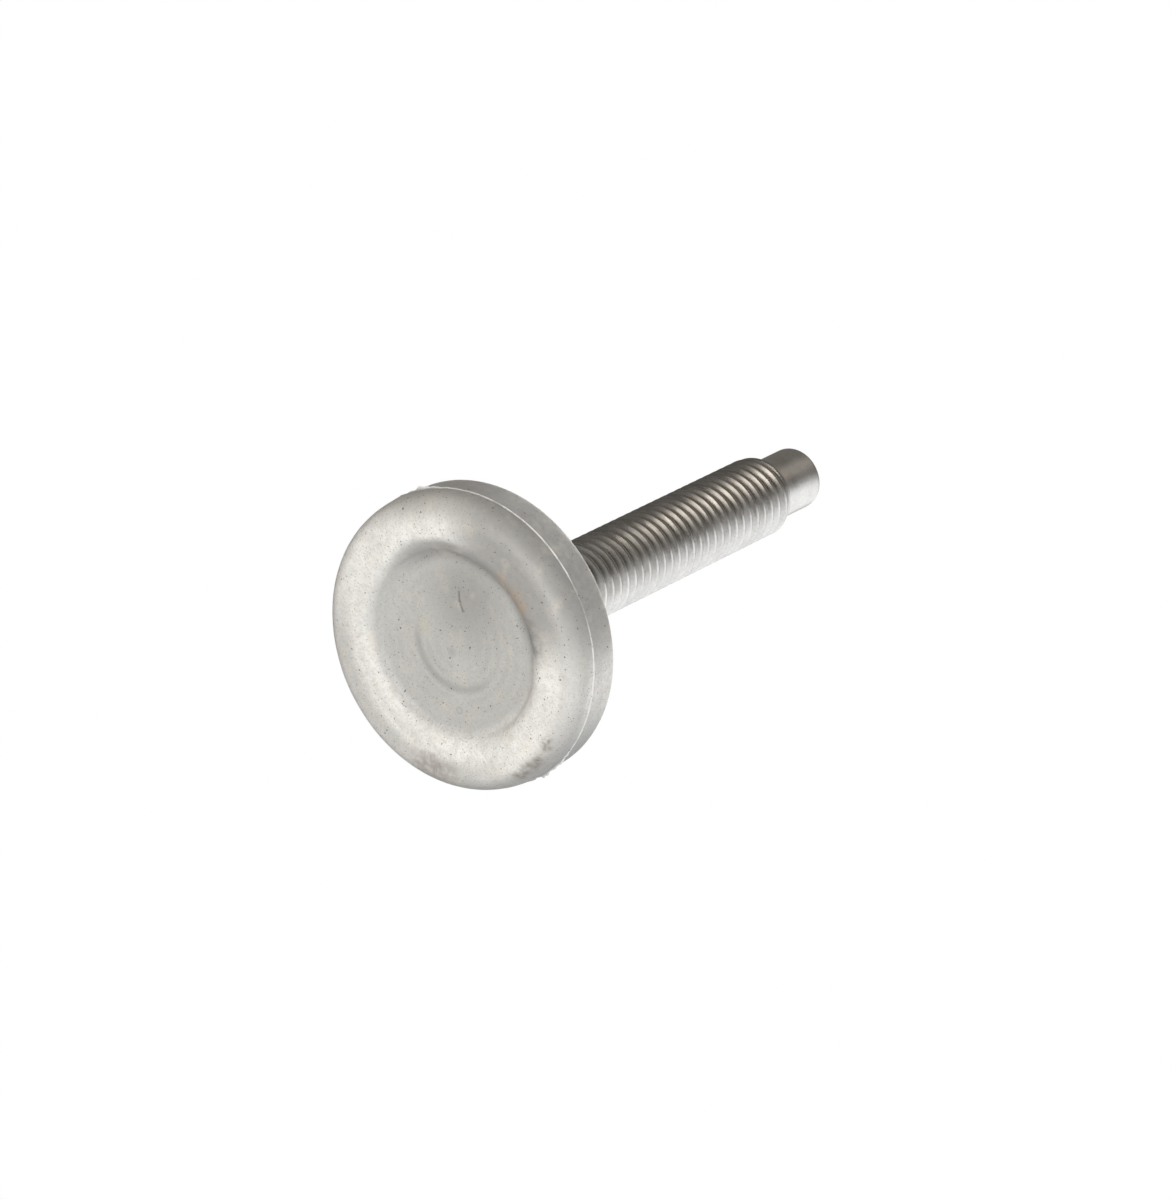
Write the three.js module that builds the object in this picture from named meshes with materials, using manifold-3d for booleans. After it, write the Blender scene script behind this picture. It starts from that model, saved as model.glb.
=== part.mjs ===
// Adjustable foot: a moulded rubber pad on a threaded steel stud with an unthreaded pilot end.
// Millimetres, +Z up. The origin is the centre of the ring on which the sole stands.
import * as THREE from 'three';
import { mergeVertices } from 'three/addons/utils/BufferGeometryUtils.js';
import Module from 'manifold-3d';

const wasm = await Module();
wasm.setup();

// Clearance that separates neighbouring pieces
const GAP = 0.3;

// Pad: a round puck with a rolled front edge, a nearly straight back and a shallow recess in its sole
const PAD_RADIUS = 17.9;
const PAD_BACK_RADIUS = 17.75;
const PAD_THICKNESS = 8.1;
const PARTING_HEIGHT = 3.75;
const BACK_EDGE_RADIUS = 0.6;
const FRONT_ROLL_POWER = 2.5;
const CREST_OUTER_RADIUS = 15.2;
const CREST_INNER_RADIUS = 13.5;
const RECESS_RADIUS = 11.1;
const RECESS_DEPTH = 2;
const BOSS_RADIUS = 8;
const BOSS_HEIGHT = 1.4;
const BOSS_FILLET = 1.2;

// Stud: M10 x 1.5 with a reduced pilot, a plain shank in the pad and a neck riveted under the plate
const STUD_TOP = 71.3;
const PILOT_RADIUS = 3.8;
const PILOT_LENGTH = 7;
const PILOT_EDGE = 0.8;
const PITCH = 1.5;
const MAJOR_RADIUS = 4.925;
const MINOR_RADIUS = 4.08;
const SHANK_RADIUS = 4.5;
const NECK_RADIUS = 3.4;
const THREAD_START = 11.5;
const RUN_OUT_LENGTH = 1.2;
const THREAD_STEPS = 16;

// Rivet head and the pressed plate above it
const SOLE_SKIN = 1.4;
const RIVET_RADIUS = 5.5;
const RIVET_RIM = 0.5;
const RIVET_CROWN = 1;
const PLATE_RADIUS = 11.5;
const PLATE_THICKNESS = 1.5;
const PLATE_DISH = 0.8;
const HUB_RADIUS = 6.6;
const DISH_RADIUS = 7.8;
const KEY_HOLE_RADIUS = 1.2;
const KEY_HOLE_CIRCLE = 9.6;
const KEY_HOLES = 6;

// Heights that follow from the sizes above
const RIVET_BOTTOM = RECESS_DEPTH + SOLE_SKIN + GAP;
const RIVET_TOP = RIVET_BOTTOM + RIVET_CROWN + RIVET_RIM;
const HUB_BOTTOM = RIVET_TOP + GAP;
const HUB_TOP = HUB_BOTTOM + PLATE_THICKNESS;
const SHOULDER = HUB_TOP + GAP;
const BOSS_TOP = PAD_THICKNESS + BOSS_HEIGHT;
const THREAD_END = STUD_TOP - PILOT_LENGTH;
const END_CHAMFER = MAJOR_RADIUS - PILOT_RADIUS;

// Steps round a turned piece, and how deep one solid runs into the next where they are joined
const ROUND_STEPS = 48;
const STUD_STEPS = 32;
const HOLE_STEPS = 12;
const SINK = 0.15;

const point = (radius, height) => new THREE.Vector2(radius, height);

// Points along an ellipse about (radius, height), from one angle to another
function arc(radius, height, width, rise, from, to, steps) {
  const points = [];
  for (let i = 0; i <= steps; i += 1) {
    const angle = from + ((to - from) * i) / steps;
    points.push(point(radius + width * Math.cos(angle), height + rise * Math.sin(angle)));
  }
  return points;
}

// A closed geometry as a solid that can be joined and cut
function solidFrom(geometry) {
  const bare = geometry.clone();
  bare.deleteAttribute('normal');
  bare.deleteAttribute('uv');
  const welded = mergeVertices(bare);
  const vertProperties = new Float32Array(welded.attributes.position.array);
  const triVerts = new Uint32Array(welded.index.array);
  return new wasm.Manifold(new wasm.Mesh({ numProp: 3, vertProperties, triVerts }));
}

// A profile of (radius, height) points turned about the Z axis
function turned(profile, steps = ROUND_STEPS) {
  const geometry = new THREE.LatheGeometry(profile, steps);
  geometry.rotateX(Math.PI / 2);
  return solidFrom(geometry);
}

// A plain upright cylinder at (x, y) between two heights
function upright(radius, bottom, top, x = 0, y = 0, steps = HOLE_STEPS) {
  const geometry = new THREE.CylinderGeometry(radius, radius, top - bottom, steps);
  geometry.rotateX(Math.PI / 2);
  geometry.translate(x, y, (top + bottom) / 2);
  return solidFrom(geometry);
}

// A ring of equal upright cylinders on one circle
function ringOfCylinders(radius, bottom, top) {
  const cylinders = [];
  for (let i = 0; i < KEY_HOLES; i += 1) {
    const angle = (2 * Math.PI * i) / KEY_HOLES;
    const x = KEY_HOLE_CIRCLE * Math.cos(angle);
    const y = KEY_HOLE_CIRCLE * Math.sin(angle);
    cylinders.push(upright(radius, bottom, top, x, y));
  }
  return cylinders.reduce((joined, next) => joined.add(next));
}

// The rolled front edge, from the sole's crest out to the parting plane
function frontRoll(steps) {
  const points = [];
  for (let i = 0; i <= steps; i += 1) {
    const across = Math.sin((Math.PI / 2) * (i / steps)) ** (2 / FRONT_ROLL_POWER);
    const drop = Math.cos((Math.PI / 2) * (i / steps)) ** (2 / FRONT_ROLL_POWER);
    const radius = CREST_OUTER_RADIUS + (PAD_RADIUS - CREST_OUTER_RADIUS) * across;
    points.push(point(radius, PARTING_HEIGHT * (1 - drop)));
  }
  return points;
}

// The pad's outer skin: recess floor, contact ring, front roll, back edge, boss
function padSkin() {
  const recessSlope = CREST_INNER_RADIUS - RECESS_RADIUS;
  const backCentre = PAD_BACK_RADIUS - BACK_EDGE_RADIUS;
  const backHeight = PAD_THICKNESS - BACK_EDGE_RADIUS;
  const filletCentre = BOSS_RADIUS + BOSS_FILLET;
  const filletHeight = PAD_THICKNESS + BOSS_FILLET;
  const profile = [
    point(0, RECESS_DEPTH),
    ...arc(CREST_INNER_RADIUS, RECESS_DEPTH, recessSlope, RECESS_DEPTH, -Math.PI, -Math.PI / 2, 6),
    ...frontRoll(8),
    ...arc(backCentre, backHeight, BACK_EDGE_RADIUS, BACK_EDGE_RADIUS, 0, Math.PI / 2, 5),
    ...arc(filletCentre, filletHeight, BOSS_FILLET, BOSS_FILLET, -Math.PI / 2, -Math.PI, 3),
    point(BOSS_RADIUS - (BOSS_HEIGHT - BOSS_FILLET), BOSS_TOP),
    point(0, BOSS_TOP),
  ];
  return turned(profile);
}

// The plate's section as a closed loop, grown by a margin on every side
function plateSection(margin, innerRadius) {
  const low = HUB_BOTTOM - margin;
  const high = HUB_TOP + margin;
  return [
    point(innerRadius, low),
    point(HUB_RADIUS - margin, low),
    point(DISH_RADIUS - margin, low - PLATE_DISH),
    point(PLATE_RADIUS + margin, low - PLATE_DISH),
    point(PLATE_RADIUS + margin, high - PLATE_DISH),
    point(DISH_RADIUS + margin, high - PLATE_DISH),
    point(HUB_RADIUS + margin, high),
    point(innerRadius, high),
  ];
}

// The riveted head's section, grown by a margin, up to a chosen height
function rivetSection(margin, top) {
  const rim = RIVET_BOTTOM + RIVET_CROWN;
  return [
    ...arc(0, rim, RIVET_RADIUS + margin, RIVET_CROWN + margin, -Math.PI / 2, 0, 5),
    point(RIVET_RADIUS + margin, top),
  ];
}

// Room inside the pad for the plate, the rivet head and the shank, open at the top.
// Pillars of rubber pass through the plate's keying holes.
function padPocket() {
  const plateRoom = turned(plateSection(GAP, 0));
  const pillars = ringOfCylinders(KEY_HOLE_RADIUS - GAP, 0, BOSS_TOP);
  const rivetRoom = turned([...rivetSection(GAP, HUB_BOTTOM), point(0, HUB_BOTTOM)]);
  const bore = upright(SHANK_RADIUS + GAP, HUB_BOTTOM, BOSS_TOP + 1, 0, 0, ROUND_STEPS);
  return plateRoom.subtract(pillars).add(rivetRoom).add(bore);
}

function pad() {
  return padSkin().subtract(padPocket());
}

// A pressed disc with a raised hub, a centre hole for the neck and a ring of keying holes
function anchorPlate() {
  const section = plateSection(0, NECK_RADIUS + GAP);
  const blank = turned([...section, section[0]]);
  return blank.subtract(ringOfCylinders(KEY_HOLE_RADIUS, 0, BOSS_TOP));
}

// The largest radius that the thread may have at a height: a cone at each end, full depth between
function threadLimit(height) {
  const rise = (height - THREAD_START) / RUN_OUT_LENGTH;
  const fall = (THREAD_END - height) / END_CHAMFER;
  const low = THREE.MathUtils.lerp(SHANK_RADIUS - SINK, MAJOR_RADIUS, THREE.MathUtils.clamp(rise, 0, 1));
  const high = THREE.MathUtils.lerp(PILOT_RADIUS - SINK, MAJOR_RADIUS, THREE.MathUtils.clamp(fall, 0, 1));
  return Math.min(low, high);
}

// The threaded length as one right-hand helical skin, closed to a point inside the metal at each end.
// Each turn has four lines: both edges of the crest and both edges of the root.
function threadedLength() {
  const crestWidth = PITCH / 8;
  const flankRun = (MAJOR_RADIUS - MINOR_RADIUS) * Math.tan(Math.PI / 6);
  const lines = [
    { offset: 0, radius: MAJOR_RADIUS },
    { offset: crestWidth, radius: MAJOR_RADIUS },
    { offset: crestWidth + flankRun, radius: MINOR_RADIUS },
    { offset: PITCH - flankRun, radius: MINOR_RADIUS },
  ];
  const start = THREAD_START - PITCH;
  const turns = Math.ceil((THREAD_END - start) / PITCH);
  const rows = turns * lines.length;
  const positions = [];
  for (let row = 0; row < rows + lines.length; row += 1) {
    const line = lines[row % lines.length];
    const base = start + PITCH * Math.floor(row / lines.length) + line.offset;
    for (let step = 0; step < THREAD_STEPS; step += 1) {
      const angle = (2 * Math.PI * step) / THREAD_STEPS;
      const height = base + (PITCH * step) / THREAD_STEPS;
      const radius = Math.min(line.radius, threadLimit(height));
      positions.push(radius * Math.cos(angle), radius * Math.sin(angle), height);
    }
  }
  // A line that has gone once round carries on as the same line of the next turn
  const at = (row, step) => (step < THREAD_STEPS
    ? row * THREAD_STEPS + step
    : (row + lines.length) * THREAD_STEPS);
  const bottom = positions.length / 3;
  const top = bottom + 1;
  positions.push(0, 0, start, 0, 0, start + PITCH * (turns + 1));
  const index = [];
  for (let row = 0; row < rows - 1; row += 1) {
    for (let step = 0; step < THREAD_STEPS; step += 1) {
      const a = at(row, step);
      const b = at(row, step + 1);
      const c = at(row + 1, step + 1);
      const d = at(row + 1, step);
      index.push(a, b, c, a, c, d);
    }
  }
  for (let step = 0; step < THREAD_STEPS; step += 1) {
    index.push(bottom, at(0, step + 1), at(0, step));
    index.push(top, at(rows - 1, step), at(rows - 1, step + 1));
  }
  for (let row = 0; row < lines.length; row += 1) {
    index.push(bottom, at(row, 0), at(row + 1, 0));
    index.push(top, at(rows + row, 0), at(rows - 1 + row, 0));
  }
  const geometry = new THREE.BufferGeometry();
  geometry.setAttribute('position', new THREE.Float32BufferAttribute(positions, 3));
  geometry.setIndex(index);
  return solidFrom(geometry);
}

// Riveted head, neck and plain shank
function studRoot() {
  return turned([
    ...rivetSection(0, RIVET_TOP),
    point(NECK_RADIUS, RIVET_TOP),
    point(NECK_RADIUS, SHOULDER),
    point(SHANK_RADIUS, SHOULDER),
    point(SHANK_RADIUS, THREAD_START),
    point(0, THREAD_START),
  ], STUD_STEPS);
}

// The plain end that leads the thread into its hole
function pilot() {
  const edge = STUD_TOP - PILOT_EDGE;
  const flat = PILOT_RADIUS - PILOT_EDGE;
  return turned([
    point(0, THREAD_END - END_CHAMFER),
    point(PILOT_RADIUS, THREAD_END - END_CHAMFER),
    ...arc(flat, edge, PILOT_EDGE, PILOT_EDGE, 0, Math.PI / 2, 4),
    point(0, STUD_TOP),
  ], STUD_STEPS);
}

function threadedStud() {
  return studRoot().add(threadedLength()).add(pilot());
}

// A solid as a named mesh with its own material
function named(name, solid, material) {
  const { vertProperties, triVerts } = solid.getMesh();
  const geometry = new THREE.BufferGeometry();
  geometry.setAttribute('position', new THREE.BufferAttribute(new Float32Array(vertProperties), 3));
  geometry.setIndex(new THREE.BufferAttribute(new Uint32Array(triVerts), 1));
  geometry.computeVertexNormals();
  const mesh = new THREE.Mesh(geometry, material);
  mesh.name = name;
  return mesh;
}

const rubber = new THREE.MeshStandardMaterial({ color: 0xcfcdc7, roughness: 0.45, metalness: 0 });
const brightSteel = new THREE.MeshStandardMaterial({ color: 0xc4c1bb, roughness: 0.28, metalness: 1 });
const pressedSteel = new THREE.MeshStandardMaterial({ color: 0x9b9890, roughness: 0.5, metalness: 1 });

const foot = new THREE.Group();
foot.add(named('pad', pad(), rubber));
foot.add(named('anchor_plate', anchorPlate(), pressedSteel));
foot.add(named('threaded_stud', threadedStud(), brightSteel));

export default foot;
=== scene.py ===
"""Adjustable foot: a moulded translucent rubber pad on a threaded steel stud.

Metres, +Z up the stud, origin at the centre of the ring on which the sole stands.
"""
import math

import bpy
import numpy as np
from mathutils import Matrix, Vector, noise


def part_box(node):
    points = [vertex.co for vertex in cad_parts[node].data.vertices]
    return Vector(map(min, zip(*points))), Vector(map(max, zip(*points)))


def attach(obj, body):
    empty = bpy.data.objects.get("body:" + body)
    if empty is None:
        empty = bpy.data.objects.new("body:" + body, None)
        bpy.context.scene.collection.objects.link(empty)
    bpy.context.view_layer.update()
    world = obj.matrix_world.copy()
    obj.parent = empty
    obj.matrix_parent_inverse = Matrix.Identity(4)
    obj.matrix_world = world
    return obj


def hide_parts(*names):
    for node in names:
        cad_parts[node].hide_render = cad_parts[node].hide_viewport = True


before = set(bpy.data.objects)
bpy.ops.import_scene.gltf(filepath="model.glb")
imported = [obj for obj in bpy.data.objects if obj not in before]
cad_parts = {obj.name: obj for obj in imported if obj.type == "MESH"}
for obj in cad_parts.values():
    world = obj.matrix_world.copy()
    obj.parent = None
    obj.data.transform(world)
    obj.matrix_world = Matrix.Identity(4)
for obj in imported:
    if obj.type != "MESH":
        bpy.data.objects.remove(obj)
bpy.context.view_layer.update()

MM = 0.001
PAD_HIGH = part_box("pad")[1]
STUD_LOW, STUD_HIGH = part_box("threaded_stud")

# Pad: its radius and top come from its own box, the rest is given in millimetres
PAD_RADIUS = PAD_HIGH[0]
BOSS_HEIGHT = 1.4 * MM
BOSS_TOP = PAD_HIGH[2]
BACK_FACE = BOSS_TOP - BOSS_HEIGHT
BACK_RADIUS = PAD_RADIUS - 0.15 * MM
BACK_EDGE = 0.5 * MM
PARTING = 3.75 * MM
ROLL_POWER = 2.5
CREST_OUTER = 15.2 * MM
CREST_INNER = 13.5 * MM
RECESS_RADIUS = 11.1 * MM
RECESS_DEPTH = 2.0 * MM
RECESS_FILLET = 0.9 * MM
BOSS_RADIUS = 8.0 * MM
BOSS_FILLET = 1.2 * MM
BORE_RADIUS = 4.62 * MM
POCKET_RADIUS = 11.65 * MM
POCKET_TOP = 7.2 * MM
POCKET_STEP = 0.8 * MM
POCKET_FLOOR = 4.5 * MM
RIVET_ROOM = 5.7 * MM
RIVET_FLOOR = 3.5 * MM
PARTING_BAND = 0.3 * MM
PAD_STEPS = 520
INSIDE_POINTS = 9

# Stud
STUD_TOP = STUD_HIGH[2]
STUD_BOTTOM = STUD_LOW[2]
RIVET_RADIUS = STUD_HIGH[0]
RIVET_CROWN = 1.0 * MM
RIVET_TOP = STUD_BOTTOM + 1.5 * MM
NECK_RADIUS = 3.4 * MM
SHOULDER = 7.3 * MM
SHANK_RADIUS = 4.5 * MM
PITCH = 1.5 * MM
MAJOR_RADIUS = 4.925 * MM
MINOR_RADIUS = 4.08 * MM
THREAD_START = 11.5 * MM
RUN_OUT = 1.2 * MM
PILOT_RADIUS = 3.8 * MM
PILOT_LENGTH = 7.0 * MM
PILOT_EDGE = 0.8 * MM
THREAD_END = STUD_TOP - PILOT_LENGTH
END_TAPER = 0.75
CREST_FLAT = 0.0625
FLANK_SHARE = 0.33
TURN_STEPS = 96
THREAD_LINES = 16

# Marks on the moulded sole: places are millimetres across it, angles are degrees round its rim
# The rivet head's ghost ring: a shallow relief in the mesh, with painted shade on one side of it
RIVET_GHOST = 5.7
CREASE = ((-5.1, -3.5), (-4.1, -3.0), (-3.0, -2.8))
FIBRE_LOOP = (7.1, 4.3)
GATE_MARK = (0.6, 1.4)
YELLOW_SPOT = (-3.5, 3.5)
SPECK_CLUSTERS = ((-6.4, -1.5, 2.2), (3.0, -1.0, 2.0))
# Streaks on the sole: a brown stain, a grey streak of painted shade on the recess's slope, dirty smears, and
# a soft shade on the roll
STAINS_AND_SHADES = (
    ((-3.8, -11.8), (-0.4, -12.6), 1.9, 0.8, (0.46, 0.34, 0.24)),
    # Painted shade on the recess's slope
    ((2.0, -12.2), (4.8, -11.3), 2.3, 0.7, (0.24, 0.23, 0.215)),
    ((15.2, -6.5), (14.2, -7.2), 0.9, 0.8, (0.20, 0.18, 0.155)),
    ((16.9, -0.8), (16.4, -4.4), 1.3, 0.8, (0.20, 0.17, 0.145)),
    ((12.9, 9.0), (10.8, 11.0), 2.6, 0.8, (0.34, 0.31, 0.28)),
)
FLASH_START, FLASH_END = 186, 352
FLASH_GAP = 277
TORN_FLASH = ((352, 9, 0.46), (192, 9, 0.30), (38, 1.5, 0.16))

# Rubber, and what marks it
# The palest rubber colour is a painted glow. The four greys after it are painted shade, and the middle one is
# also the rubber's random cloudy tone.
RUBBER_PAINTED_GLOW = (0.90, 0.89, 0.86)
RUBBER_MIDDLE = (0.47, 0.465, 0.445)
RUBBER_PLATE_SHADE = (0.565, 0.565, 0.545)
RUBBER_SHADED = (0.37, 0.365, 0.355)
RUBBER_DEEP_SHADE = (0.27, 0.265, 0.255)
RUBBER_MOTTLE = (0.48, 0.475, 0.45)
RUBBER_GRAIN = (0.38, 0.37, 0.35)
RUBBER_WARM = (0.70, 0.64, 0.55)
RUBBER_YELLOW = (0.60, 0.58, 0.47)
MOULD_RING = (0.38, 0.375, 0.36)
# Painted shade of the rivet head's ghost ring
RIVET_SHADE_GREY = (0.33, 0.32, 0.305)
GATE_GREY = (0.34, 0.33, 0.315)
CREASE_DARK = (0.16, 0.15, 0.14)
FIBRE_GREY = (0.30, 0.29, 0.28)
FLASH_PALE = (0.92, 0.91, 0.88)
DUST_BLACK = (0.07, 0.055, 0.045)
DUST_BROWN = (0.18, 0.15, 0.125)
RUBBER_SCALE = 2.5 * MM
RUBBER_RADIUS = (1.0, 0.97, 0.92)
RUBBER_IOR = 1.43

# Steel
STEEL_DULL = (0.58, 0.57, 0.555)
STEEL_BRIGHT = (0.68, 0.675, 0.665)
STEEL_GRAIN = (0.43, 0.41, 0.385)
STEEL_BROWNED = (0.36, 0.30, 0.235)
STEEL_PIT = (0.16, 0.12, 0.09)
PLATE_DARK = (0.42, 0.41, 0.39)
PLATE_PALE = (0.55, 0.54, 0.52)

# Camera: it looks up at the sole, rolled so that the stud points up and to the right
VIEW_TILT = math.radians(41.53)
VIEW_ROLL = math.radians(26.08)
VIEW_DISTANCE = 0.786
LENS = 205.6
SENSOR = 36.0
PAD_OFFSET_X = -0.0989
PAD_OFFSET_Y = -0.0317

# Light: places in the sky are an azimuth round +Z from +X and a height above the floor, in degrees
TABLE = (2, 6)
UPPER_STRIP = (240, 48.5)
LOWER_STRIP = (225, -67)
SOFT_BOXES = (
    # Name, azimuth, height, distance, size, power, and the object that it lights
    ("floor_box", 60, 75, 2.0, 1.4, 22.0, "floor"),
    ("front_box", 266, -54, 0.6, 0.45, 3.7, "rubber_pad"),
    ("back_box", 195, 77, 0.6, 0.45, 2.3, "rubber_pad"),
    ("table_box", *TABLE, 0.4, 1.3, 3.6, "steel_stud"),
)


def view_axes():
    """Right, up and back directions of a camera that looks straight at the pad."""
    tilt_sin, tilt_cos = math.sin(VIEW_TILT), math.cos(VIEW_TILT)
    roll_sin, roll_cos = math.sin(VIEW_ROLL), math.cos(VIEW_ROLL)
    right = Vector((roll_sin, -roll_cos * tilt_cos, roll_cos * tilt_sin))
    up = Vector((-roll_cos, -roll_sin * tilt_cos, roll_sin * tilt_sin))
    back = Vector((0, -tilt_sin, -tilt_cos))
    return right, up, back


def add_camera():
    """Places the camera, turned a little so that the pad sits left of and below the middle."""
    right, up, back = view_axes()
    pad_centre = Vector((0, 0, PARTING))
    focal = LENS / SENSOR
    forward = (-PAD_OFFSET_X * right - PAD_OFFSET_Y * up - focal * back).normalized()
    turned_right = (right - right.dot(forward) * forward).normalized()
    turned_up = turned_right.cross(forward)
    camera = bpy.data.objects.new("camera", bpy.data.cameras.new("camera"))
    camera.data.lens = LENS
    camera.data.sensor_width = SENSOR
    camera.data.clip_start = 0.01
    camera.data.clip_end = 20.0
    matrix = camera.matrix_world.to_3x3()
    matrix.col[0], matrix.col[1], matrix.col[2] = turned_right, turned_up, -forward
    camera.matrix_world = matrix.to_4x4()
    camera.location = pad_centre + VIEW_DISTANCE * back
    bpy.context.scene.collection.objects.link(camera)
    bpy.context.scene.camera = camera


class Graph:
    """A node tree with short ways to add nodes and join them."""

    def __init__(self, tree):
        self.tree = tree
        self.tree.nodes.clear()

    def put(self, socket, value):
        if isinstance(value, bpy.types.NodeSocket):
            self.tree.links.new(value, socket)
        elif isinstance(value, tuple) and len(value) == 3 and socket.type == "RGBA":
            socket.default_value = (*value, 1.0)
        else:
            socket.default_value = value

    def add(self, kind, settings=None, **inputs):
        node = self.tree.nodes.new(kind)
        for name, value in (settings or {}).items():
            setattr(node, name, value)
        for name, value in inputs.items():
            self.put(node.inputs[name.replace("_", " ")], value)
        return node

    def math(self, operation, *values, clamp=False):
        node = self.add("ShaderNodeMath", {"operation": operation, "use_clamp": clamp})
        for socket, value in zip(node.inputs, values):
            self.put(socket, value)
        return node.outputs[0]

    def vector(self, operation, *values):
        node = self.add("ShaderNodeVectorMath", {"operation": operation})
        for socket, value in zip(node.inputs, values):
            self.put(socket, value)
        return node.outputs["Value"] if operation in ("LENGTH", "DISTANCE") else node.outputs["Vector"]

    def mix(self, factor, first, second, blend="MIX"):
        node = self.add("ShaderNodeMix", {"data_type": "RGBA", "blend_type": blend})
        self.put(node.inputs["Factor"], factor)
        self.put(node.inputs["A"], first)
        self.put(node.inputs["B"], second)
        return node.outputs["Result"]

    def spread(self, value, low, high, to_low=0.0, to_high=1.0):
        """value, from low..high to to_low..to_high, smooth and held at both ends."""
        node = self.add("ShaderNodeMapRange", {"interpolation_type": "SMOOTHSTEP"})
        for name, number in (
            ("Value", value), ("From Min", low), ("From Max", high), ("To Min", to_low), ("To Max", to_high),
        ):
            self.put(node.inputs[name], number)
        return node.outputs["Result"]

    def noise(self, where, size, detail=3.0, roughness=0.5):
        """Noise from 0 to 1, with features of about that size in metres."""
        settings = {"Scale": 1.0 / size, "Detail": detail, "Roughness": roughness}
        return self.add("ShaderNodeTexNoise", Vector=where, **settings).outputs["Fac"]

    def specks(self, where, spacing, radius, share):
        """1 inside small round specks: one in each cell of that spacing, kept for a share of the cells."""
        node = self.add("ShaderNodeTexVoronoi", Vector=where, Scale=1.0 / spacing, Randomness=1.0)
        lot = self.add("ShaderNodeSeparateColor", Color=node.outputs["Color"]).outputs[0]
        keep = self.math("LESS_THAN", lot, share)
        inside = self.spread(node.outputs["Distance"], radius / spacing, 0.4 * radius / spacing)
        return self.math("MULTIPLY", keep, inside)

    def bend(self, where, size, most):
        """A small offset that varies from place to place, to make regular marks uneven."""
        node = self.add("ShaderNodeTexNoise", Vector=where, Scale=1.0 / size, Detail=2.0)
        centred = self.vector("SUBTRACT", node.outputs["Color"], (0.5, 0.5, 0.5))
        return self.vector("MULTIPLY", centred, (2 * most, 2 * most, 2 * most))

    def near(self, where, centre, reach):
        """1 at a point on the object, falling to 0 at that reach from it."""
        distance = self.vector("DISTANCE", where, tuple(centre))
        return self.spread(distance, reach, 0.0)

    def streak(self, where, start, end, reach):
        """1 along a short stretch from start to end, falling to 0 at that reach to either side."""
        start, end = Vector(start), Vector(end)
        along = end - start
        offset = self.vector("SUBTRACT", where, tuple(start))
        share = self.math("DIVIDE", self.dot(offset, along), along.length_squared, clamp=True)
        nearest = self.add("ShaderNodeVectorMath", {"operation": "SCALE"})
        nearest.inputs[0].default_value = tuple(along)
        self.put(nearest.inputs["Scale"], share)
        return self.spread(self.vector("DISTANCE", offset, nearest.outputs[0]), reach, 0.0)

    def dot(self, value, direction):
        node = self.add("ShaderNodeVectorMath", {"operation": "DOT_PRODUCT"})
        self.put(node.inputs[0], value)
        self.put(node.inputs[1], tuple(direction))
        return node.outputs["Value"]

    def total(self, *values):
        result = values[0]
        for value in values[1:]:
            result = self.math("ADD", result, value)
        return result

    def times(self, *values):
        result = values[0]
        for value in values[1:]:
            result = self.math("MULTIPLY", result, value)
        return result

    def height_bump(self, height, depth, normal=None):
        node = self.add("ShaderNodeBump", Height=height, Distance=depth, Strength=1.0)
        if normal is not None:
            self.put(node.inputs["Normal"], normal)
        return node.outputs["Normal"]


def new_material(name):
    material = bpy.data.materials.new(name)
    material.use_nodes = True
    return material, Graph(material.node_tree)


def finish_material(graph, shader):
    output = graph.add("ShaderNodeOutputMaterial")
    graph.put(output.inputs["Surface"], shader.outputs[0])


def on_sole(place, height):
    """A place on the sole, given in millimetres across it, as a point at that height in metres."""
    return (place[0] * MM, place[1] * MM, height)


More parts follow.
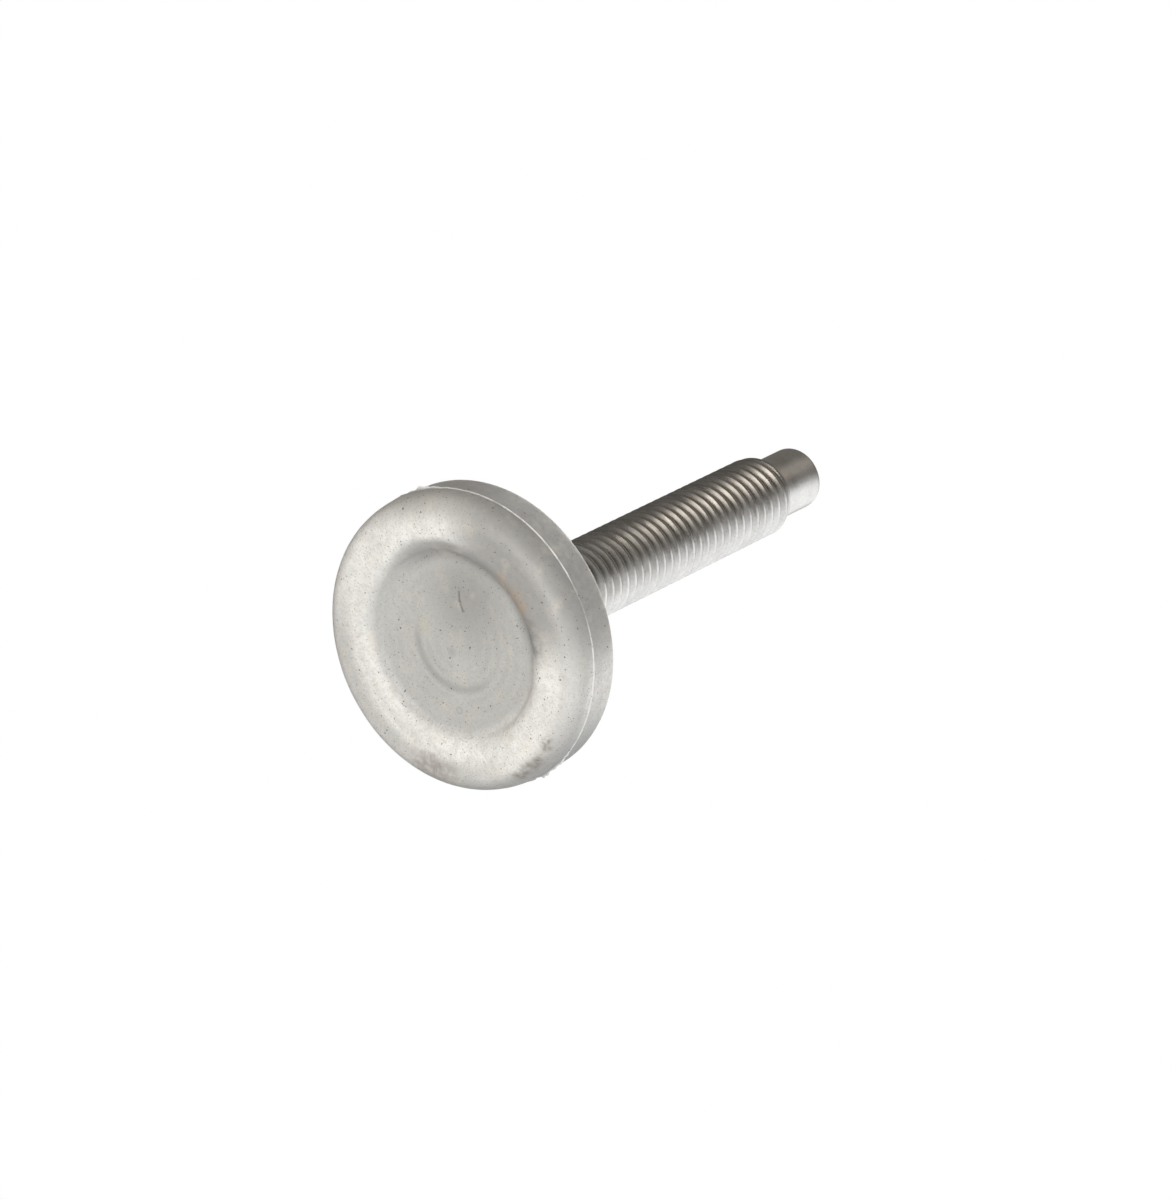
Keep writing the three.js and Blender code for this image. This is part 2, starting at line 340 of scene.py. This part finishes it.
def rubber_glow_and_shade(g, where, cloud):
    """The rubber's colour with light and shade painted in: a painted glow, pale round the rim, and painted
    shade, greyer over the plate and the stud, over a random cloudy tone.
    """
    flat = g.vector("MULTIPLY", where, (1.0, 1.0, 0.0))
    radius = g.vector("LENGTH", flat)
    heading = g.vector("NORMALIZE", flat)
    height = g.dot(where, (0, 0, 1))
    wobble = g.math("MULTIPLY", g.math("SUBTRACT", cloud, 0.5), 1.6 * MM)
    reach = g.math("ADD", radius, wobble)
    # left, inner, right, top and low are stretches of the ring painted greyer than the rest: painted shade
    # against the painted glow
    left = g.times(
        g.spread(reach, 12.8 * MM, 15.0 * MM), g.spread(reach, 15.2 * MM, 16.8 * MM, 0.65, 0.35),
        g.spread(g.dot(heading, sky_direction(70, 0)), 0.2, 0.8))
    inner = g.times(
        g.spread(reach, 14.0 * MM, 12.6 * MM),
        g.spread(g.dot(heading, sky_direction(100, 0)), 0.2, 0.8), 0.36)
    right = g.times(
        g.spread(reach, 15.2 * MM, 16.6 * MM), g.spread(g.dot(heading, sky_direction(298, 0)), 0.7, 0.95),
        g.spread(height, 3.4 * MM, 2.2 * MM), 0.6)
    top = g.times(
        g.spread(reach, 14.6 * MM, 16.8 * MM),
        g.spread(g.dot(heading, sky_direction(213, 0)), 0.75, 0.97), 0.75)
    low = g.times(
        g.spread(reach, 15.0 * MM, 16.8 * MM),
        g.spread(g.dot(heading, sky_direction(10, 0)), 0.55, 0.95))
    colour = g.mix(g.total(g.math("MAXIMUM", left, inner), right, top), RUBBER_PAINTED_GLOW, RUBBER_MIDDLE)
    colour = g.mix(low, colour, g.mix(g.spread(reach, 16.2 * MM, 17.4 * MM), RUBBER_MIDDLE, RUBBER_SHADED))
    # Painted shade on one side of the ring's inner slope and crest
    slope = g.spread(g.dot(heading, sky_direction(238, 0)), 0.28, 0.85)
    crest = g.spread(g.dot(heading, sky_direction(256, 0)), 0.66, 0.96)
    shaded = g.mix(g.spread(reach, 12.2 * MM, 13.4 * MM), slope, crest)
    colour = g.mix(shaded, colour, RUBBER_SHADED)
    # Painted shade on one side of the pad's side wall
    side = g.spread(height, 1.0 * MM, 4.0 * MM)
    rim = g.times(side, g.spread(g.dot(heading, sky_direction(245, 0)), 0.4, 0.9), 0.85)
    colour = g.mix(rim, colour, RUBBER_DEEP_SHADE)
    # Painted shade over the plate, deeper towards one side of the recess floor
    shifted = g.vector("LENGTH", g.vector("ADD", flat, (0.6 * MM, 0.0, 0.0)))
    plate_shade = g.spread(g.math("ADD", shifted, wobble), 12.0 * MM, 10.7 * MM)
    dusk = g.near(where, (-4.0 * MM, -4.5 * MM, RECESS_DEPTH), 9.0 * MM)
    colour = g.mix(plate_shade, colour, g.mix(dusk, RUBBER_PLATE_SHADE, RUBBER_SHADED))
    # Painted shade in a band round one side of the recess's edge
    edge_shade = g.times(
        g.spread(reach, 9.2 * MM, 10.5 * MM), g.spread(reach, 12.6 * MM, 11.6 * MM),
        g.spread(g.dot(heading, sky_direction(232, 0)), 0.25, 0.75), 0.6)
    colour = g.mix(edge_shade, colour, RUBBER_DEEP_SHADE)
    return g.mix(g.spread(cloud, 0.35, 0.7, 0.0, 0.2), colour, RUBBER_MIDDLE)


def recess_marks(g, where, colour):
    """Marks in the recess floor: faint rings, painted shade on one side of the rivet head's ghost ring, a
    crease and a yellowish spot.
    """
    centre = (0.0, 0.0, RECESS_DEPTH)
    radius = g.vector("DISTANCE", where, centre)
    floor = g.spread(radius, 10.5 * MM, 9.0 * MM)
    wave = g.math("SINE", g.math("MULTIPLY", radius, 2 * math.pi / (1.35 * MM)))
    patchy = g.spread(g.noise(where, 4 * MM), 0.4, 0.65)
    colour = g.mix(g.times(g.spread(wave, -1.0, 1.0), floor, patchy, 0.22), colour, MOULD_RING)
    # Painted shade of the rivet head under the skin, on one side of its ghost ring; the ring is also a
    # shallow relief in the mesh
    ghost = g.spread(g.math("ABSOLUTE", g.math("SUBTRACT", radius, RIVET_GHOST * MM)), 0.9 * MM, 0.0)
    side = g.spread(g.dot(where, sky_direction(60, 0)), 0.5 * MM, 3.5 * MM)
    colour = g.mix(g.times(ghost, side, 0.5), colour, RIVET_SHADE_GREY)
    yellow = g.near(where, on_sole(YELLOW_SPOT, RECESS_DEPTH), 1.8 * MM)
    colour = g.mix(g.times(yellow, 0.5), colour, RUBBER_YELLOW)
    gate = g.near(where, on_sole(GATE_MARK, RECESS_DEPTH), 1.0 * MM)
    colour = g.mix(g.times(gate, 0.5), colour, GATE_GREY)
    for start, end in zip(CREASE, CREASE[1:]):
        crease = g.streak(where, on_sole(start, RECESS_DEPTH), on_sole(end, RECESS_DEPTH), 0.28 * MM)
        colour = g.mix(g.times(crease, 0.85), colour, CREASE_DARK)
    loop = g.vector("DISTANCE", where, on_sole(FIBRE_LOOP, RECESS_DEPTH))
    hair = g.spread(g.math("ABSOLUTE", g.math("SUBTRACT", loop, 0.38 * MM)), 0.11 * MM, 0.02 * MM)
    return g.mix(g.times(hair, 0.5), colour, FIBRE_GREY)


def flash_tint(g, where, colour):
    """The moulding flash catches the light as a thin pale line along the parting plane."""
    height = g.dot(where, (0, 0, 1))
    heading = g.vector("NORMALIZE", g.vector("MULTIPLY", where, (1.0, 1.0, 0.0)))
    line = g.spread(g.math("ABSOLUTE", g.math("SUBTRACT", height, PARTING)), 0.18 * MM, 0.06 * MM)
    middle = 0.5 * (FLASH_START + FLASH_END)
    inside = g.spread(g.dot(heading, sky_direction(middle, 0)), 0.12, 0.30, 0.25, 1.0)
    worn = g.spread(g.dot(heading, sky_direction(FLASH_GAP, 0)), 0.97, 0.995, 1.0, 0.15)
    broken = g.spread(g.noise(where, 1.4 * MM), 0.35, 0.5, 0.45, 1.0)
    return g.mix(g.times(line, inside, worn, broken, 0.9), colour, FLASH_PALE)


def rubber_material():
    """Translucent grey rubber: cloudy, speckled, faintly stained, with painted glow and painted shade, and a
    satin moulded face.
    """
    material, g = new_material("pad_rubber")
    where = g.add("ShaderNodeTexCoord").outputs["Object"]
    cloud = g.noise(where, 7 * MM, detail=3.0)
    mottle = g.noise(where, 1.1 * MM, detail=4.0, roughness=0.6)
    grain = g.noise(where, 0.28 * MM, detail=3.0, roughness=0.6)
    warm = g.noise(g.vector("ADD", where, (0.03, 0.01, 0.02)), 2.2 * MM, detail=3.0)
    # A painted glow round the ring, and painted shade over the plate, by the stud and on the side wall
    colour = rubber_glow_and_shade(g, where, cloud)
    colour = recess_marks(g, where, colour)
    colour = g.mix(g.spread(mottle, 0.35, 0.75, 0.0, 0.33), colour, RUBBER_MOTTLE)
    colour = g.mix(g.spread(warm, 0.52, 0.78, 0.0, 0.35), colour, RUBBER_WARM)
    colour = g.mix(g.spread(grain, 0.38, 0.7, 0.0, 0.30), colour, RUBBER_GRAIN)
    colour = flash_tint(g, where, colour)

    # Soot-like specks, thicker in two places on the recess floor
    crowd = g.total(*(g.near(where, on_sole(place, RECESS_DEPTH), place[2] * MM) for place in SPECK_CLUSTERS))
    share = g.math("ADD", g.times(crowd, 0.5), 0.45)
    bent = g.vector("ADD", where, g.bend(where, 0.8 * MM, 0.25 * MM))
    small = g.specks(bent, 0.5 * MM, 0.095 * MM, share)
    large = g.specks(bent, 1.1 * MM, 0.16 * MM, g.math("ADD", g.times(crowd, 0.6), 0.25))
    dots = g.math("MAXIMUM", small, large)
    tiny_share = g.math("ADD", share, 0.05)
    tiny = g.specks(g.vector("ADD", bent, (0.011, 0.007, 0.005)), 0.3 * MM, 0.08 * MM, tiny_share)
    colour = g.mix(g.times(dots, 0.8), colour, DUST_BLACK)
    colour = g.mix(g.times(tiny, 0.6), colour, DUST_BROWN)

    # Streaks: a brown stain and a grey streak of painted shade on the recess's slope, dirty smears and a soft
    # shade on the roll
    blur = g.spread(mottle, 0.3, 0.62)
    smeared = g.vector("ADD", where, g.bend(where, 0.9 * MM, 0.7 * MM))
    for start, end, reach, share, streak_colour in STAINS_AND_SHADES:
        streak_mask = g.streak(smeared, on_sole(start, 0.35 * MM), on_sole(end, 0.35 * MM), reach * MM)
        colour = g.mix(g.times(streak_mask, blur, share), colour, streak_colour)

    rough = g.spread(grain, 0.2, 0.8, 0.40, 0.54)
    shader = g.add("ShaderNodeBsdfPrincipled", Base_Color=colour, Roughness=rough)
    shader.subsurface_method = "RANDOM_WALK"
    shader.inputs["Subsurface Weight"].default_value = 1.0
    shader.inputs["Subsurface Scale"].default_value = RUBBER_SCALE
    shader.inputs["Subsurface Radius"].default_value = RUBBER_RADIUS
    shader.inputs["Subsurface Anisotropy"].default_value = 0.0
    shader.inputs["IOR"].default_value = RUBBER_IOR
    g.put(shader.inputs["Normal"], g.height_bump(grain, 0.006 * MM, g.height_bump(mottle, 0.02 * MM)))
    finish_material(g, shader)
    return material


def stud_material():
    """Bright steel, cloudy with handling, faintly browned in the grooves, with fine tool lines round it."""
    material, g = new_material("stud_steel")
    where = g.add("ShaderNodeTexCoord").outputs["Object"]
    cloud = g.noise(where, 2.5 * MM, detail=4.0)
    fine = g.noise(where, 0.35 * MM, detail=3.0, roughness=0.6)
    drawn = g.noise(g.vector("MULTIPLY", where, (0.25, 0.25, 6.0)), 0.9 * MM, detail=3.0)
    colour = g.mix(g.spread(cloud, 0.3, 0.7), STEEL_DULL, STEEL_BRIGHT)
    colour = g.mix(g.spread(fine, 0.35, 0.75, 0.0, 0.35), colour, STEEL_GRAIN)
    radius = g.vector("LENGTH", g.vector("MULTIPLY", where, (1.0, 1.0, 0.0)))
    groove = g.spread(radius, MINOR_RADIUS + 0.4 * MM, MINOR_RADIUS)
    threaded = g.spread(g.dot(where, (0, 0, 1)), THREAD_END - 0.5 * MM, THREAD_END - 1.5 * MM)
    brown = g.times(groove, threaded, g.spread(cloud, 0.35, 0.65, 0.2, 0.75))
    colour = g.mix(brown, colour, STEEL_BROWNED)
    pits = g.specks(where, 0.5 * MM, 0.08 * MM, 0.35)
    colour = g.mix(g.times(pits, 0.6), colour, STEEL_PIT)
    rough = g.math("ADD", g.spread(cloud, 0.3, 0.7, 0.24, 0.31), g.spread(drawn, 0.3, 0.7, 0.0, 0.08))
    shader = g.add("ShaderNodeBsdfPrincipled", Base_Color=colour, Roughness=rough)
    shader.inputs["Metallic"].default_value = 1.0
    g.put(shader.inputs["Normal"], g.height_bump(drawn, 0.004 * MM, g.height_bump(fine, 0.004 * MM)))
    finish_material(g, shader)
    return material


def plate_material():
    """Plain pressed steel, cloudy and slightly rough."""
    material, g = new_material("plate_steel")
    where = g.add("ShaderNodeTexCoord").outputs["Object"]
    cloud = g.noise(where, 1.5 * MM, detail=4.0)
    colour = g.mix(g.spread(cloud, 0.3, 0.7), PLATE_DARK, PLATE_PALE)
    rough = g.spread(cloud, 0.3, 0.7, 0.4, 0.55)
    shader = g.add("ShaderNodeBsdfPrincipled", Base_Color=colour, Roughness=rough)
    shader.inputs["Metallic"].default_value = 1.0
    g.put(shader.inputs["Normal"], g.height_bump(cloud, 0.02 * MM))
    finish_material(g, shader)
    return material


def make_piece(name, points, faces, material, body, node):
    """A smooth-shaded mesh that rides on a body and stands for a CAD node."""
    mesh = bpy.data.meshes.new(name)
    mesh.from_pydata([tuple(p) for p in points], [], faces)
    mesh.materials.append(material)
    mesh.validate()
    mesh.shade_smooth()
    piece = bpy.data.objects.new(name, mesh)
    bpy.context.scene.collection.objects.link(piece)
    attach(piece, body)
    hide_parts(node)


def arc(radius, height, width, rise, start, end, steps):
    """(radius, height) points along part of an ellipse."""
    angles = np.linspace(start, end, steps + 1)
    return [(radius + width * math.cos(a), height + rise * math.sin(a)) for a in angles]


def line(start, end, steps):
    """(radius, height) points from start to just before end."""
    return [
        (start[0] + (end[0] - start[0]) * i / steps, start[1] + (end[1] - start[1]) * i / steps)
        for i in range(steps)
    ]


def soft_corner(start, corner, end, steps):
    """(radius, height) points that leave start towards the corner and turn to just before end."""
    points = []
    for i in range(steps):
        share = i / steps
        weights = ((1 - share) ** 2, 2 * share * (1 - share), share**2)
        radius, height = (sum(w * p[axis] for w, p in zip(weights, (start, corner, end))) for axis in (0, 1))
        points.append((radius, height))
    return points


def front_roll(steps):
    """The rolled front edge, from the contact ring to the parting plane."""
    points = []
    for i in range(steps + 1):
        turn = 0.5 * math.pi * i / steps
        across = math.sin(turn) ** (2 / ROLL_POWER)
        drop = max(math.cos(turn), 0.0) ** (2 / ROLL_POWER)
        points.append((CREST_OUTER + (PAD_RADIUS - CREST_OUTER) * across, PARTING * (1 - drop)))
    return points


def pad_profile():
    """The pad's section: sole, side, back, boss, then the bore and the pocket inside."""
    half = math.pi / 2
    slope = CREST_INNER - RECESS_RADIUS
    back_centre = (BACK_RADIUS - BACK_EDGE, BACK_FACE - BACK_EDGE)
    fillet_centre = (BOSS_RADIUS + BOSS_FILLET, BACK_FACE + BOSS_FILLET)
    corner = (RECESS_RADIUS, RECESS_DEPTH)
    corner_start = (RECESS_RADIUS - RECESS_FILLET, RECESS_DEPTH)
    climb = math.asin(RECESS_FILLET / RECESS_DEPTH)
    corner_end = (CREST_INNER - slope * math.cos(climb), RECESS_DEPTH - RECESS_FILLET)
    roll = [point for point in front_roll(34) if point[1] < PARTING - PARTING_BAND]
    return [
        *line((0.12 * MM, RECESS_DEPTH), (3.0 * MM, RECESS_DEPTH), 13),
        *line((3.0 * MM, RECESS_DEPTH), (7.2 * MM, RECESS_DEPTH), 34),
        *line((7.2 * MM, RECESS_DEPTH), corner_start, 17),
        *soft_corner(corner_start, corner, corner_end, 6),
        *arc(CREST_INNER, RECESS_DEPTH, slope, RECESS_DEPTH, climb - 2 * half, -half, 20),
        *line((CREST_INNER + 0.2 * MM, 0.0), (CREST_OUTER, 0.0), 7),
        *roll,
        *line((PAD_RADIUS, PARTING - PARTING_BAND), (PAD_RADIUS, PARTING + PARTING_BAND), 14),
        *line((PAD_RADIUS, PARTING + PARTING_BAND), (BACK_RADIUS, back_centre[1]), 7),
        *arc(*back_centre, BACK_EDGE, BACK_EDGE, 0, half, 6),
        *line((back_centre[0] - 0.5 * MM, BACK_FACE), (BOSS_RADIUS + BOSS_FILLET, BACK_FACE), 10),
        *arc(*fillet_centre, BOSS_FILLET, BOSS_FILLET, -half, -2 * half, 7),
        (BOSS_RADIUS - 0.2 * MM, BOSS_TOP),
        (BORE_RADIUS + 0.3 * MM, BOSS_TOP),
        (BORE_RADIUS, BOSS_TOP - 0.3 * MM),
        (BORE_RADIUS, POCKET_TOP),
        (POCKET_RADIUS, POCKET_TOP - POCKET_STEP),
        (POCKET_RADIUS, POCKET_FLOOR),
        (RIVET_ROOM, POCKET_FLOOR + POCKET_STEP),
        (RIVET_ROOM, RIVET_FLOOR + RIVET_CROWN),
        (0.12 * MM, RIVET_FLOOR),
    ]


def bell(distance, width):
    return np.exp(-((distance / width) ** 2))


def to_segment(x, y, start, end):
    """Distance of each point from a straight segment."""
    along_x, along_y = end[0] - start[0], end[1] - start[1]
    share = ((x - start[0]) * along_x + (y - start[1]) * along_y) / (along_x**2 + along_y**2)
    share = np.clip(share, 0, 1)
    return np.hypot(x - start[0] - share * along_x, y - start[1] - share * along_y)


def turn_between(angle, middle):
    """How far each angle is from the middle one, in degrees either way."""
    return (angle - middle + 180) % 360 - 180


def lumps(points, size, seed):
    """Smooth noise from -1 to 1 at each point, with lumps of about that size."""
    shift = Vector((seed, 2 * seed, 3 * seed))
    return np.array([noise.noise(Vector(point) / size + shift) for point in points])


def flash_height(angle):
    """How far the moulding flash stands out along the parting line, in millimetres, at each angle."""
    ragged = np.array([noise.noise(Vector((0.3 * a, 3.0, 0.0))) for a in angle])
    fine = np.array([noise.noise(Vector((0.7 * a, 7.0, 0.0))) for a in angle])
    inside = np.clip((angle - FLASH_START) / 6, 0, 1) * np.clip((FLASH_END - angle) / 6, 0, 1)
    worn = 1 - 0.85 * bell(turn_between(angle, FLASH_GAP), 8)
    height = 0.025 + 0.10 * inside * worn * (1 + 0.35 * ragged)
    for middle, spread, most in TORN_FLASH:
        torn = np.clip(0.55 + 1.1 * ragged + 0.9 * fine, 0, 1.3)
        height += most * bell(turn_between(angle, middle), spread) * torn
    return height


def sole_relief(x, y, radius, angle):
    """Marks in the recess floor, in millimetres: below 0 is cut in."""
    relief = -0.03 * bell(radius - RIVET_GHOST, 0.6) * np.clip((turn_between(angle, 60) + 75) / 30, 0, 1)
    relief *= np.clip((75 - turn_between(angle, 60)) / 30, 0, 1)
    relief += 0.02 / (1 + np.exp((radius - RIVET_GHOST) / 0.15))
    relief += 0.006 * np.sin(2 * math.pi * radius / 1.35) * bell(radius - 6.5, 3.5)
    for start, end in zip(CREASE, CREASE[1:]):
        relief -= 0.07 * bell(to_segment(x, y, start, end), 0.13)
    relief += 0.035 * bell(np.hypot(x - FIBRE_LOOP[0], y - FIBRE_LOOP[1]) - 0.38, 0.09)
    relief += 0.05 * bell(np.hypot(x - GATE_MARK[0], y - GATE_MARK[1]), 0.55)
    return relief


def pad_mesh():
    """Points and faces of the pad: its section turned about the axis, marked, closed at each end."""
    profile = np.array(pad_profile())
    outside = np.array([height < BOSS_TOP - 0.1 * MM or radius > BORE_RADIUS + 1.0 * MM
                        for radius, height in profile])
    outside[-INSIDE_POINTS:] = False
    along = np.gradient(profile, axis=0)
    along /= np.linalg.norm(along, axis=1)[:, None]
    angle = np.arange(PAD_STEPS) * 360 / PAD_STEPS
    turn = np.radians(angle)
    flash = flash_height(angle)
    points = []
    for (radius, height), tangent, shown in zip(profile, along, outside):
        ring = np.stack([radius * np.cos(turn), radius * np.sin(turn), np.full(PAD_STEPS, height)], axis=1)
        if shown:
            x, y, reach = ring[:, 0] / MM, ring[:, 1] / MM, radius / MM
            push = 0.035 * lumps(ring, 6 * MM, 1) + 0.009 * lumps(ring, 1.4 * MM, 2)
            if height == RECESS_DEPTH:
                push = push + sole_relief(x, y, reach, angle)
            push = push + flash * bell((height - PARTING) / MM, 0.08 + 0.25 * flash)
            push = push * MM
            out = push * tangent[1]
            ring += np.stack([out * np.cos(turn), out * np.sin(turn), -push * tangent[0]], axis=1)
        points.extend(map(tuple, ring))
    faces = []
    for row in range(len(profile) - 1):
        for step in range(PAD_STEPS):
            a = row * PAD_STEPS + step
            b = row * PAD_STEPS + (step + 1) % PAD_STEPS
            faces.append((a, b, b + PAD_STEPS, a + PAD_STEPS))
    first, last = len(points), (len(profile) - 1) * PAD_STEPS
    points += [(0, 0, RECESS_DEPTH), (0, 0, RIVET_FLOOR)]
    for step in range(PAD_STEPS):
        following = (step + 1) % PAD_STEPS
        faces.append((first, following, step))
        faces.append((first + 1, last + step, last + following))
    return points, faces


def thread_radius(phase, height):
    """Radius of the stud's threaded length: phase is the place in the pitch, 0 at a crest's middle."""
    away = abs(phase - round(phase))
    ridge = 1.0 - min(max((away - CREST_FLAT) / FLANK_SHARE, 0.0), 1.0)
    depth = min(max((height - THREAD_START) / RUN_OUT, 0.0), 1.0)
    crest = SHANK_RADIUS + (MAJOR_RADIUS - SHANK_RADIUS) * depth
    root = SHANK_RADIUS + (MINOR_RADIUS - SHANK_RADIUS) * depth
    cone = PILOT_RADIUS + END_TAPER * max(THREAD_END - height, 0.0)
    return min(root + (crest - root) * ridge, cone)


def stud_mesh():
    """Points and faces of the stud, one closed skin: turned rings, the helical thread, turned rings."""
    half = math.pi / 2
    start = THREAD_START - 0.2 * MM - PITCH
    turns = math.ceil((THREAD_END - start) / PITCH) + 1
    below = [
        *arc(0, STUD_BOTTOM + RIVET_CROWN, RIVET_RADIUS, RIVET_CROWN, -0.97 * half, 0, 10),
        (RIVET_RADIUS, RIVET_TOP),
        (NECK_RADIUS, RIVET_TOP),
        (NECK_RADIUS, SHOULDER),
        (SHANK_RADIUS, SHOULDER),
        (SHANK_RADIUS, start - 0.1 * MM),
    ]
    above = [
        (PILOT_RADIUS, start + (turns + 1) * PITCH),
        *arc(PILOT_RADIUS - PILOT_EDGE, STUD_TOP - PILOT_EDGE, PILOT_EDGE, PILOT_EDGE, 0, half, 10),
        (0.2 * MM, STUD_TOP),
    ]
    rows = turns * THREAD_LINES
    points = []

    def ring(radius, height):
        for step in range(TURN_STEPS):
            angle = 2 * math.pi * step / TURN_STEPS
            points.append((radius * math.cos(angle), radius * math.sin(angle), height))

    for radius, height in below:
        ring(radius, height)
    thread = len(points)
    for row in range(rows + THREAD_LINES):
        for step in range(TURN_STEPS):
            angle = 2 * math.pi * step / TURN_STEPS
            height = start + PITCH * (row / THREAD_LINES + step / TURN_STEPS)
            radius = thread_radius(row / THREAD_LINES, height)
            points.append((radius * math.cos(angle), radius * math.sin(angle), height))
    top = len(points)
    for radius, height in above:
        ring(radius, height)

    def at(row, step):
        """A line that has gone once round carries on as the same line of the next turn."""
        if step < TURN_STEPS:
            return thread + row * TURN_STEPS + step
        return thread + (row + THREAD_LINES) * TURN_STEPS

    faces = []

    def ring_faces(first, count):
        for row in range(count - 1):
            for step in range(TURN_STEPS):
                a = first + row * TURN_STEPS + step
                b = first + row * TURN_STEPS + (step + 1) % TURN_STEPS
                faces.append((a, b, b + TURN_STEPS, a + TURN_STEPS))

    ring_faces(0, len(below))
    ring_faces(top, len(above))
    for row in range(rows - 1):
        for step in range(TURN_STEPS):
            faces.append((at(row, step), at(row, step + 1), at(row + 1, step + 1), at(row + 1, step)))
    # The first line rises one pitch in its turn, so its last step meets a column of points
    under = thread - TURN_STEPS
    for step in range(TURN_STEPS - 1):
        faces.append((under + step, under + step + 1, at(0, step + 1), at(0, step)))
    corner = under + TURN_STEPS - 1
    column = [under] + [at(row, 0) for row in range(THREAD_LINES + 1)]
    faces += [(corner, a, b) for a, b in zip(column, column[1:])]
    faces.append((corner, at(THREAD_LINES, 0), at(0, TURN_STEPS - 1)))
    # The last line likewise starts one pitch below its end
    end = rows - 1
    column = [at(end + row, 0) for row in range(THREAD_LINES + 1)] + [top]
    faces += [(top + 1, b, a) for a, b in zip(column, column[1:])]
    faces.append((top + 1, at(end, 0), at(end, 1)))
    for step in range(1, TURN_STEPS):
        following = (step + 1) % TURN_STEPS
        faces.append((at(end, step), at(end, step + 1), top + following, top + step))
    # Both ends close to a point on the axis
    first, last = len(points), top + (len(above) - 1) * TURN_STEPS
    points.extend([(0, 0, STUD_BOTTOM), (0, 0, STUD_TOP)])
    for step in range(TURN_STEPS):
        following = (step + 1) % TURN_STEPS
        faces.append((first, following, step))
        faces.append((first + 1, last + step, last + following))
    return points, faces


def add_floor():
    """A pale floor under the sole: solid from above, clear from below."""
    mesh = bpy.data.meshes.new("floor")
    reach = 1.5
    corners = [(-reach, -reach, 0), (reach, -reach, 0), (reach, reach, 0), (-reach, reach, 0)]
    mesh.from_pydata(corners, [], [(0, 1, 2, 3)])
    material, g = new_material("floor")
    where = g.add("ShaderNodeTexCoord").outputs["Object"]
    colour = g.mix(g.noise(where, 0.2), (0.80, 0.80, 0.80), (0.83, 0.83, 0.83))
    plain = g.add("ShaderNodeBsdfDiffuse", Color=colour)
    clear = g.add("ShaderNodeBsdfTransparent")
    side = g.add("ShaderNodeNewGeometry").outputs["Backfacing"]
    shader = g.add("ShaderNodeMixShader", Fac=side)
    g.put(shader.inputs[1], plain.outputs[0])
    g.put(shader.inputs[2], clear.outputs[0])
    finish_material(g, shader)
    mesh.materials.append(material)
    floor = bpy.data.objects.new("floor", mesh)
    floor.location.z = -0.05 * MM
    floor.visible_shadow = False
    floor.visible_diffuse = False
    floor.visible_glossy = False
    floor.visible_transmission = False
    bpy.context.scene.collection.objects.link(floor)


def sky_direction(azimuth, elevation):
    """A direction by its angle round +Z from +X and its angle above the floor, in degrees."""
    azimuth, elevation = math.radians(azimuth), math.radians(elevation)
    flat = math.cos(elevation)
    return Vector((flat * math.cos(azimuth), flat * math.sin(azimuth), math.sin(elevation)))


def add_world():
    """White to the camera. As light: a broad white side, and a dark side with two soft strips."""
    world = bpy.data.worlds.new("studio")
    world.use_nodes = True
    bpy.context.scene.world = world
    g = Graph(world.node_tree)
    direction = g.add("ShaderNodeTexCoord").outputs["Generated"]
    table = g.times(g.spread(g.dot(direction, sky_direction(*TABLE)), 0.18, 0.55), 0.55)
    upper_strip = g.times(g.spread(g.dot(direction, sky_direction(*UPPER_STRIP)), 0.93, 0.995), 0.28)
    lower_strip = g.times(g.spread(g.dot(direction, sky_direction(*LOWER_STRIP)), 0.94, 0.995), 2.3)
    strips = g.math("ADD", upper_strip, lower_strip)
    upper = g.spread(g.dot(direction, (0, 0, 1)), 0.1, 0.8, 0.12, 0.21)
    level = g.total(table, strips, upper)
    tone = g.mix(g.spread(table, 0.0, 0.4), (1.0, 0.93, 0.84), (0.97, 0.985, 1.0))
    tone = g.mix(g.spread(strips, 0.0, 0.5), tone, (1.0, 0.91, 0.79))
    soft = g.add("ShaderNodeBackground", Color=tone, Strength=level)
    white = g.add("ShaderNodeBackground", Color=(1.0, 1.0, 1.0), Strength=1.0)
    seen = g.add("ShaderNodeLightPath").outputs["Is Camera Ray"]
    shader = g.add("ShaderNodeMixShader", Fac=seen)
    g.put(shader.inputs[1], soft.outputs[0])
    g.put(shader.inputs[2], white.outputs[0])
    output = g.add("ShaderNodeOutputWorld")
    g.put(output.inputs["Surface"], shader.outputs[0])


def add_soft_light(name, direction, distance, size, power, lit):
    """A square soft box that faces the foot and lights one object."""
    data = bpy.data.lights.new(name, "AREA")
    data.shape = "SQUARE"
    data.size = size
    data.energy = power
    lamp = bpy.data.objects.new(name, data)
    lamp.location = distance * direction.normalized()
    lamp.rotation_euler = direction.to_track_quat("Z", "Y").to_euler()
    lamp.visible_camera = False
    receivers = bpy.data.collections.new(name + "_receivers")
    receivers.objects.link(lit)
    lamp.light_linking.receiver_collection = receivers
    bpy.context.scene.collection.objects.link(lamp)


def add_lights():
    """Soft boxes: over the floor, below the sole, above the pad, and beside the stud."""
    for name, azimuth, elevation, distance, size, power, lit in SOFT_BOXES:
        direction = sky_direction(azimuth, elevation)
        add_soft_light(name, direction, distance, size, power, bpy.data.objects[lit])


add_camera()
add_world()
add_floor()
pad_points, pad_faces = pad_mesh()
make_piece("rubber_pad", pad_points, pad_faces, rubber_material(), "foot", "pad")
stud_points, stud_faces = stud_mesh()
make_piece(
    "steel_stud", stud_points, stud_faces, stud_material(), "stud", "threaded_stud",
)
add_lights()
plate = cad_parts["anchor_plate"]
plate.data.materials.clear()
plate.data.materials.append(plate_material())

bpy.context.scene.view_settings.view_transform = "Standard"
